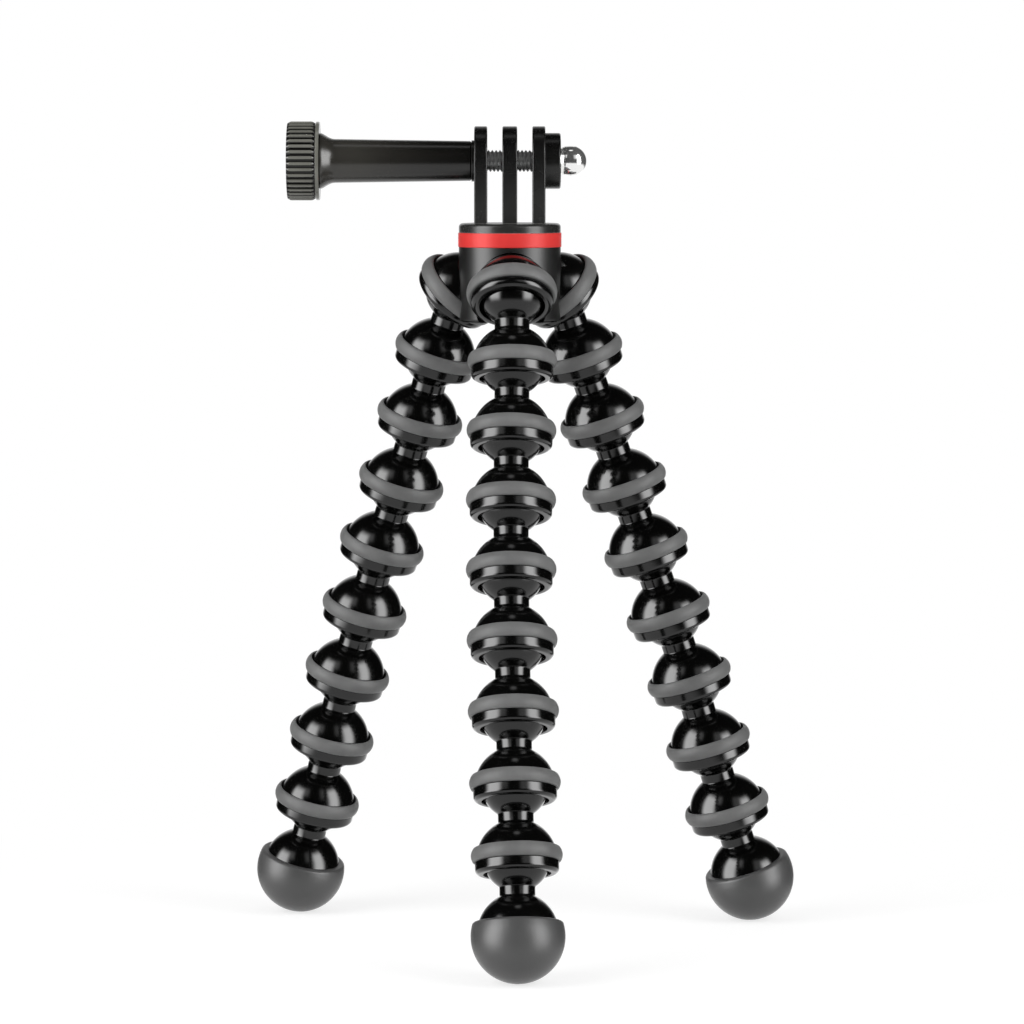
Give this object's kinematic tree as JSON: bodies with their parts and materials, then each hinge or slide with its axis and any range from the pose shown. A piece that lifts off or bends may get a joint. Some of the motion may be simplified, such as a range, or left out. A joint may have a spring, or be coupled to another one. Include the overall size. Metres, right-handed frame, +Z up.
{
  "type": "flexible leg tripod",
  "caption": "Small tripod whose legs are chains of ball-and-socket links that bend and hold any shape, with rubber feet and a fingered clevis with a long thumbscrew for a camera.",
  "frame": {"origin": "on the floor under the middle of the part's outer box", "axes": "+Z up, knob of the thumbscrew towards -X, cap nut towards +X, front leg towards -Y"},
  "size_m": [0.12, 0.112, 0.1773],
  "materials": {
    "link_plastic": "polished black moulding",
    "hub_plastic": "black moulding, soft shine",
    "screw_plastic": "black moulding",
    "washer_plastic": "black moulding",
    "grip_rubber": "matt dark grey rubber",
    "foot_rubber": "matt dark grey rubber",
    "nut_chrome": "polished plating"
  },
  "bodies": {
    "hub": {"hub_body": "hub_plastic", "hub_rings": "grip_rubber", "finger_mount": "hub_plastic", "cap_nut": "nut_chrome"},
    "screw_washer": {"screw_washer": "washer_plastic"},
    "thumbscrew": {"thumbscrew": "screw_plastic"},
    "front_link_1": {"front_link_1": "link_plastic", "front_grip_ring_1": "grip_rubber"},
    "front_link_2": {"front_link_2": "link_plastic", "front_grip_ring_2": "grip_rubber"},
    "front_link_3": {"front_link_3": "link_plastic", "front_grip_ring_3": "grip_rubber"},
    "front_link_4": {"front_link_4": "link_plastic", "front_grip_ring_4": "grip_rubber"},
    "front_link_5": {"front_link_5": "link_plastic", "front_grip_ring_5": "grip_rubber"},
    "front_link_6": {"front_link_6": "link_plastic", "front_grip_ring_6": "grip_rubber"},
    "front_link_7": {"front_link_7": "link_plastic", "front_grip_ring_7": "grip_rubber"},
    "front_link_8": {"front_link_8": "link_plastic", "front_grip_ring_8": "grip_rubber"},
    "front_foot": {"front_foot_stem": "link_plastic", "front_foot_cap": "foot_rubber"},
    "left_link_1": {"left_link_1": "link_plastic", "left_grip_ring_1": "grip_rubber"},
    "left_link_2": {"left_link_2": "link_plastic", "left_grip_ring_2": "grip_rubber"},
    "left_link_3": {"left_link_3": "link_plastic", "left_grip_ring_3": "grip_rubber"},
    "left_link_4": {"left_link_4": "link_plastic", "left_grip_ring_4": "grip_rubber"},
    "left_link_5": {"left_link_5": "link_plastic", "left_grip_ring_5": "grip_rubber"},
    "left_link_6": {"left_link_6": "link_plastic", "left_grip_ring_6": "grip_rubber"},
    "left_link_7": {"left_link_7": "link_plastic", "left_grip_ring_7": "grip_rubber"},
    "left_link_8": {"left_link_8": "link_plastic", "left_grip_ring_8": "grip_rubber"},
    "left_foot": {"left_foot_stem": "link_plastic", "left_foot_cap": "foot_rubber"},
    "right_link_1": {"right_link_1": "link_plastic", "right_grip_ring_1": "grip_rubber"},
    "right_link_2": {"right_link_2": "link_plastic", "right_grip_ring_2": "grip_rubber"},
    "right_link_3": {"right_link_3": "link_plastic", "right_grip_ring_3": "grip_rubber"},
    "right_link_4": {"right_link_4": "link_plastic", "right_grip_ring_4": "grip_rubber"},
    "right_link_5": {"right_link_5": "link_plastic", "right_grip_ring_5": "grip_rubber"},
    "right_link_6": {"right_link_6": "link_plastic", "right_grip_ring_6": "grip_rubber"},
    "right_link_7": {"right_link_7": "link_plastic", "right_grip_ring_7": "grip_rubber"},
    "right_link_8": {"right_link_8": "link_plastic", "right_grip_ring_8": "grip_rubber"},
    "right_foot": {"right_foot_stem": "link_plastic", "right_foot_cap": "foot_rubber"}
  },
  "joints": [
    {"name": "front_ball_1_lean", "type": "hinge", "parent": "hub", "child": "front_link_1", "pos_m": [-0.00272, -0.00071, 0.14062], "axis": [-0.9998, -0.0175, 0], "range_deg": [-12, 50]},
    {"name": "front_ball_2_sway", "type": "hinge", "parent": "front_link_1", "child": "front_link_2", "pos_m": [-0.00264, -0.00493, 0.12592], "axis": [-0.0331, -0.9477, 0.3173], "range_deg": [-31, 32]},
    {"name": "front_ball_3_lean", "type": "hinge", "parent": "front_link_2", "child": "front_link_3", "pos_m": [-0.00281, -0.00978, 0.11141], "axis": [0.9998, -0.0175, 0], "range_deg": [-29, 34]},
    {"name": "front_ball_4_sway", "type": "hinge", "parent": "front_link_3", "child": "front_link_4", "pos_m": [-0.00291, -0.01514, 0.09708], "axis": [-0.0081, 0.9335, -0.3584], "range_deg": [-31, 32]},
    {"name": "front_ball_5_lean", "type": "hinge", "parent": "front_link_4", "child": "front_link_5", "pos_m": [-0.00286, -0.02062, 0.08279], "axis": [-0.9994, -0.0349, 0], "range_deg": [-32, 31]},
    {"name": "front_ball_6_sway", "type": "hinge", "parent": "front_link_5", "child": "front_link_6", "pos_m": [-0.00267, -0.0261, 0.06851], "axis": [0.049, -0.9354, 0.3502], "range_deg": [-32, 31]},
    {"name": "front_ball_7_lean", "type": "hinge", "parent": "front_link_6", "child": "front_link_7", "pos_m": [-0.00239, -0.03145, 0.05418], "axis": [0.9981, 0.061, 0], "range_deg": [-32, 31]},
    {"name": "front_ball_8_sway", "type": "hinge", "parent": "front_link_7", "child": "front_link_8", "pos_m": [-0.00207, -0.03668, 0.0398], "axis": [-0.0744, 0.9454, -0.3173], "range_deg": [-31, 32]},
    {"name": "front_ball_9_lean", "type": "hinge", "parent": "front_link_8", "child": "front_foot", "pos_m": [-0.00169, -0.04152, 0.02529], "axis": [-0.9986, -0.0523, 0], "range_deg": [-30, 33]},
    {"name": "left_ball_1_lean", "type": "hinge", "parent": "hub", "child": "left_link_1", "pos_m": [-0.01447, 0.01809, 0.14062], "axis": [0.6088, 0.7934, 0], "range_deg": [-8, 54]},
    {"name": "left_ball_2_sway", "type": "hinge", "parent": "left_link_1", "child": "left_link_2", "pos_m": [-0.01913, 0.02167, 0.1265], "axis": [-0.7164, 0.6118, 0.3354], "range_deg": [-30, 33]},
    {"name": "left_ball_3_lean", "type": "hinge", "parent": "left_link_2", "child": "left_link_3", "pos_m": [-0.02303, 0.025, 0.11209], "axis": [-0.6293, -0.7771, 0], "range_deg": [-30, 33]},
    {"name": "left_ball_4_sway", "type": "hinge", "parent": "left_link_3", "child": "left_link_4", "pos_m": [-0.02721, 0.02839, 0.09776], "axis": [0.7451, -0.5615, -0.3599], "range_deg": [-31, 32]},
    {"name": "left_ball_5_lean", "type": "hinge", "parent": "left_link_4", "child": "left_link_5", "pos_m": [-0.03161, 0.0317, 0.08349], "axis": [0.6157, 0.788, 0], "range_deg": [-30, 33]},
    {"name": "left_ball_6_sway", "type": "hinge", "parent": "left_link_5", "child": "left_link_6", "pos_m": [-0.03556, 0.03478, 0.06903], "axis": [-0.7447, 0.5818, 0.3271], "range_deg": [-32, 32]},
    {"name": "left_ball_7_lean", "type": "hinge", "parent": "left_link_6", "child": "left_link_7", "pos_m": [-0.0395, 0.03786, 0.05457], "axis": [-0.6225, -0.7826, 0], "range_deg": [-33, 30]},
    {"name": "left_ball_8_sway", "type": "hinge", "parent": "left_link_7", "child": "left_link_8", "pos_m": [-0.04312, 0.04074, 0.03999], "axis": [0.75, -0.5966, -0.2856], "range_deg": [-31, 31]},
    {"name": "left_ball_9_lean", "type": "hinge", "parent": "left_link_8", "child": "left_foot", "pos_m": [-0.04654, 0.04346, 0.02533], "axis": [0.6018, 0.7986, 0], "range_deg": [-32, 31]},
    {"name": "right_ball_1_lean", "type": "hinge", "parent": "hub", "child": "right_link_1", "pos_m": [0.00769, 0.01886, 0.14062], "axis": [0.515, -0.8572, 0], "range_deg": [-6, 57]},
    {"name": "right_ball_2_sway", "type": "hinge", "parent": "right_link_1", "child": "right_link_2", "pos_m": [0.01237, 0.02167, 0.12633], "axis": [0.8361, 0.4168, 0.3567], "range_deg": [-30, 33]},
    {"name": "right_ball_3_lean", "type": "hinge", "parent": "right_link_2", "child": "right_link_3", "pos_m": [0.01725, 0.02411, 0.11204], "axis": [-0.3584, 0.9336, 0], "range_deg": [-32, 31]},
    {"name": "right_ball_4_sway", "type": "hinge", "parent": "right_link_3", "child": "right_link_4", "pos_m": [0.02212, 0.02597, 0.09765], "axis": [-0.9044, -0.2679, -0.3322], "range_deg": [-33, 30]},
    {"name": "right_ball_5_lean", "type": "hinge", "parent": "right_link_4", "child": "right_link_5", "pos_m": [0.02699, 0.02742, 0.08322], "axis": [0.2334, -0.9724, 0], "range_deg": [-32, 31]},
    {"name": "right_ball_6_sway", "type": "hinge", "parent": "right_link_5", "child": "right_link_6", "pos_m": [0.03193, 0.0286, 0.06879], "axis": [0.9227, 0.2215, 0.3157], "range_deg": [-31, 31]},
    {"name": "right_ball_7_lean", "type": "hinge", "parent": "right_link_6", "child": "right_link_7", "pos_m": [0.03663, 0.02973, 0.05427], "axis": [-0.284, 0.9588, 0], "range_deg": [-33, 30]},
    {"name": "right_ball_8_sway", "type": "hinge", "parent": "right_link_7", "child": "right_link_8", "pos_m": [0.04089, 0.031, 0.03963], "axis": [-0.8938, -0.3342, -0.299], "range_deg": [-30, 33]},
    {"name": "right_ball_9_lean", "type": "hinge", "parent": "right_link_8", "child": "right_foot", "pos_m": [0.04518, 0.0326, 0.02503], "axis": [0.3987, -0.9171, 0], "range_deg": [-34, 29]},
    {"name": "screw_travel", "type": "slide", "parent": "hub", "child": "screw_washer", "axis": [-1, 0, 0], "range_m": [0, 0.0176]},
    {"name": "thumbscrew_turn", "type": "hinge", "parent": "screw_washer", "child": "thumbscrew", "pos_m": [-0.00316, 0.01208, 0.16883], "axis": [-1, 0, 0], "range_deg": [0, 7920]}
  ],
  "couplings": [
    {"joint": "thumbscrew_turn", "follows": "screw_travel", "rad_per_m": 7854}
  ]
}
